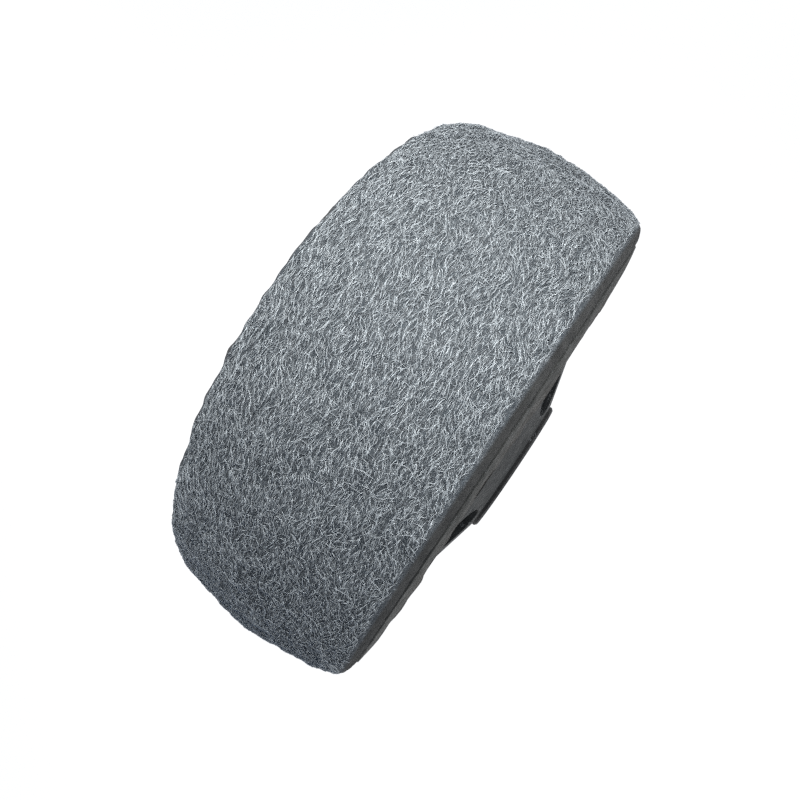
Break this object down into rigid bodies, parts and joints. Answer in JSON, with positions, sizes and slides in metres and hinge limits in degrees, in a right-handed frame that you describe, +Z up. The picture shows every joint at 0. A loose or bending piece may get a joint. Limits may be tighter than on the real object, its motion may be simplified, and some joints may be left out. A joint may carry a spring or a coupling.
{
  "type": "felt polishing wheel",
  "caption": "Crowned grey wool felt tyre on a thick rubber cushion and a moulded hub, with push-in bushes for a smaller arbor; puts the final polish on stones.",
  "frame": {"origin": "the wheel's centre: on its axis, midway between its sides", "axes": "+Y along the axis the wheel turns about, towards the side with the screw heads; +Z up"},
  "size_m": [0.1008, 0.0446, 0.101],
  "materials": {
    "wool_felt": "pressed wool felt, curly pale fibres on slate grey, brushed up",
    "cellular_rubber": "closed-cell rubber, ground and sealed sides, dull",
    "hub_plastic": "charcoal glass-filled nylon, fine moulded grain",
    "cover_plastic": "charcoal nylon, spark-eroded grain",
    "gasket_rubber": "black sheet rubber",
    "sleeve_steel": "turned and reamed steel tube",
    "bush_nylon": "natural nylon, turned",
    "fastener_steel": "stainless steel"
  },
  "bodies": {
    "wheel": {"felt_tyre": "wool_felt", "cushion_ring": "cellular_rubber", "hub_half_right": "hub_plastic", "hub_half_left": "hub_plastic", "side_cover_right": "cover_plastic", "side_cover_left": "cover_plastic", "cover_gasket_right": "gasket_rubber", "cover_gasket_left": "gasket_rubber", "arbor_sleeve": "sleeve_steel", "clamp_screws": "fastener_steel", "clamp_nuts": "fastener_steel", "lock_rings": "bush_nylon", "clamp_washers": "fastener_steel"},
    "bush_right": {"reducer_bush_right": "bush_nylon"},
    "bush_left": {"reducer_bush_left": "bush_nylon"}
  },
  "joints": [
    {"name": "bush_right_slide", "type": "slide", "parent": "wheel", "child": "bush_right", "axis": [0, 1, 0], "range_m": [0, 0.025]},
    {"name": "bush_left_slide", "type": "slide", "parent": "wheel", "child": "bush_left", "axis": [0, -1, 0], "range_m": [0, 0.025]}
  ]
}
